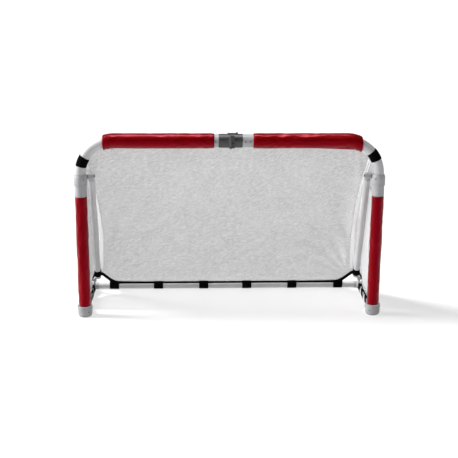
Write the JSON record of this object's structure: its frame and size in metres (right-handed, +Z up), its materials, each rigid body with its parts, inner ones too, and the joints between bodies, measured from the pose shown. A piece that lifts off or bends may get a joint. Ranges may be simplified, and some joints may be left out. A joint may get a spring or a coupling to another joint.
{
  "type": "folding training goal",
  "caption": "Small folding training goal: padded tube front frame with a centre hinge, fold-up base, diagonal struts and a fine mesh net.",
  "frame": {"origin": "centre of the bounding box, on the floor", "axes": "+X to the right as seen from in front of the mouth, +Y from the mouth back to the rear bar, +Z up"},
  "size_m": [1.525, 0.4664, 0.9299],
  "materials": {
    "frame_tube": "white powder-coated aluminium tube, satin",
    "white_fitting": "white moulded plastic, satin",
    "red_vinyl": "foam sleeve in a smooth red vinyl cover with a soft sheen",
    "black_webbing": "black hook-and-loop webbing, matte",
    "steel_pin": "plain zinc-plated steel",
    "hinge_grey": "grey cast aluminium, satin",
    "net_mesh": "fine white polyester mesh"
  },
  "bodies": {
    "right_frame": {"crossbar_tube_right": "frame_tube", "crossbar_pad_right": "red_vinyl", "bend_strap_right": "black_webbing", "upper_coupling_right": "white_fitting", "post_tube_right": "frame_tube", "post_pad_right": "red_vinyl", "foot_elbow_right": "white_fitting", "hinge_shell_right": "hinge_grey", "hinge_collar_right": "white_fitting", "hinge_rivets_right": "steel_pin", "net_back_right": "net_mesh", "net_side_right": "net_mesh", "strut_bolt_right": "steel_pin", "hinge_pin": "steel_pin", "latch_pin": "steel_pin"},
    "left_frame": {"crossbar_tube_left": "frame_tube", "crossbar_pad_left": "red_vinyl", "bend_strap_left": "black_webbing", "upper_coupling_left": "white_fitting", "post_tube_left": "frame_tube", "post_pad_left": "red_vinyl", "foot_elbow_left": "white_fitting", "hinge_shell_left": "hinge_grey", "hinge_collar_left": "white_fitting", "hinge_rivets_left": "steel_pin", "net_back_left": "net_mesh", "net_side_left": "net_mesh", "strut_bolt_left": "steel_pin"},
    "right_base": {"side_tube_right": "frame_tube", "side_knuckle_right": "white_fitting", "rear_elbow_right": "white_fitting", "rear_tube_right": "frame_tube", "strut_bracket_right": "white_fitting", "base_pins_right": "steel_pin", "side_straps_right": "black_webbing", "rear_straps_right": "black_webbing", "rear_spigot": "frame_tube"},
    "left_base": {"side_tube_left": "frame_tube", "side_knuckle_left": "white_fitting", "rear_elbow_left": "white_fitting", "rear_tube_left": "frame_tube", "strut_bracket_left": "white_fitting", "base_pins_left": "steel_pin", "side_straps_left": "black_webbing", "rear_straps_left": "black_webbing"},
    "right_strut": {"strut_tube_right": "frame_tube", "strut_top_lug_right": "white_fitting", "strut_foot_right": "white_fitting", "strut_strap_right": "black_webbing"},
    "left_strut": {"strut_tube_left": "frame_tube", "strut_top_lug_left": "white_fitting", "strut_foot_left": "white_fitting", "strut_strap_left": "black_webbing"},
    "latch": {"latch_lever": "steel_pin"},
    "coupling_button_right": {"coupling_button_right": "steel_pin"},
    "foot_button_right": {"foot_button_right": "steel_pin"},
    "coupling_button_left": {"coupling_button_left": "steel_pin"},
    "foot_button_left": {"foot_button_left": "steel_pin"}
  },
  "joints": [
    {"name": "centre_fold", "type": "hinge", "parent": "right_frame", "child": "left_frame", "pos_m": [0, -0.2262, 0.889], "axis": [0, 0, 1], "range_deg": [0, 180]},
    {"name": "base_fold", "type": "hinge", "parent": "right_frame", "child": "right_base", "pos_m": [0.725, -0.1252, 0.0184], "axis": [1, 0, 0], "range_deg": [0, 80], "deforming": ["net_back_right", "net_side_right"]},
    {"name": "left_base_fold", "type": "hinge", "parent": "left_frame", "child": "left_base", "pos_m": [-0.725, -0.1252, 0.0184], "axis": [1, 0, 0], "range_deg": [0, 80], "deforming": ["net_back_left", "net_side_left"]},
    {"name": "right_strut_swing", "type": "hinge", "parent": "right_frame", "child": "right_strut", "pos_m": [0.675, -0.1632, 0.712], "axis": [-1, 0, 0], "range_deg": [0, 17.4]},
    {"name": "left_strut_swing", "type": "hinge", "parent": "left_frame", "child": "left_strut", "pos_m": [-0.675, -0.1632, 0.712], "axis": [-1, 0, 0], "range_deg": [0, 17.4]},
    {"name": "latch_lift", "type": "hinge", "parent": "right_frame", "child": "latch", "pos_m": [0.031, -0.1872, 0.9265], "axis": [0, 1, 0], "range_deg": [0, 100]},
    {"name": "coupling_button_right_press", "type": "slide", "parent": "right_frame", "child": "coupling_button_right", "axis": [0.5736, 0.8192, 0], "range_m": [0, 0.009], "stiffness_N_per_m": 400, "springref_m": -0.002},
    {"name": "foot_button_right_press", "type": "slide", "parent": "right_frame", "child": "foot_button_right", "axis": [0.5736, 0.8192, 0], "range_m": [0, 0.009], "stiffness_N_per_m": 400, "springref_m": -0.002},
    {"name": "coupling_button_left_press", "type": "slide", "parent": "left_frame", "child": "coupling_button_left", "axis": [-0.5736, 0.8192, 0], "range_m": [0, 0.009], "stiffness_N_per_m": 400, "springref_m": -0.002},
    {"name": "foot_button_left_press", "type": "slide", "parent": "left_frame", "child": "foot_button_left", "axis": [-0.5736, 0.8192, 0], "range_m": [0, 0.009], "stiffness_N_per_m": 400, "springref_m": -0.002}
  ],
  "couplings": [
    {"joint": "left_base_fold", "follows": "base_fold", "ratio": 1},
    {"joint": "right_strut_swing", "follows": "base_fold", "ratio": 0.2175},
    {"joint": "left_strut_swing", "follows": "base_fold", "ratio": 0.2175}
  ]
}
